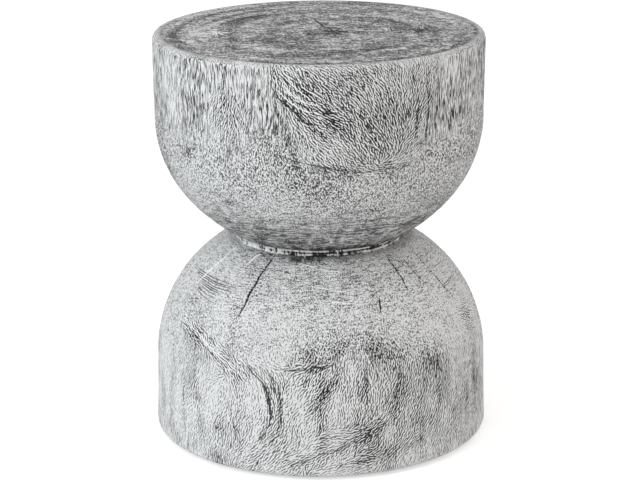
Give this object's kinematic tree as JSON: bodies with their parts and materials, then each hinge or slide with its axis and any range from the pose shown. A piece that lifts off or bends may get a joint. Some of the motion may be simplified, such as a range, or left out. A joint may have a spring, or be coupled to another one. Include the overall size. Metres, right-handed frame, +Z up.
{
  "type": "hourglass side table",
  "caption": "Hourglass side table turned from solid whitewashed wood: a flat-topped bowl over a dome foot, joined at a narrow waist by a hidden steel rod.",
  "frame": {"origin": "on the floor, under the middle of the foot", "axes": "+Z up along the turning axis; +Y away from the viewer, +X to the viewer's right"},
  "size_m": [0.4199, 0.42, 0.508],
  "materials": {
    "whitewashed_wood": "matt grey whitewash over brushed grain",
    "seam_filler": "rough sawdust and glue paste, whitewashed",
    "zinc_steel": "zinc plated",
    "dowel_wood": "bare beech",
    "glide_plastic": "moulded, matt black"
  },
  "bodies": {
    "root": {"upper_bowl": "whitewashed_wood", "lower_dome": "whitewashed_wood", "seam_filler": "seam_filler", "tie_rod": "zinc_steel", "rod_insert": "zinc_steel", "rod_washer": "zinc_steel", "rod_nut": "zinc_steel", "dowel_1": "dowel_wood", "dowel_2": "dowel_wood", "dowel_3": "dowel_wood", "glide_1": "glide_plastic", "glide_2": "glide_plastic", "glide_3": "glide_plastic", "glide_4": "glide_plastic", "glide_nail_1": "zinc_steel", "glide_nail_2": "zinc_steel", "glide_nail_3": "zinc_steel", "glide_nail_4": "zinc_steel"}
  },
  "joints": []
}
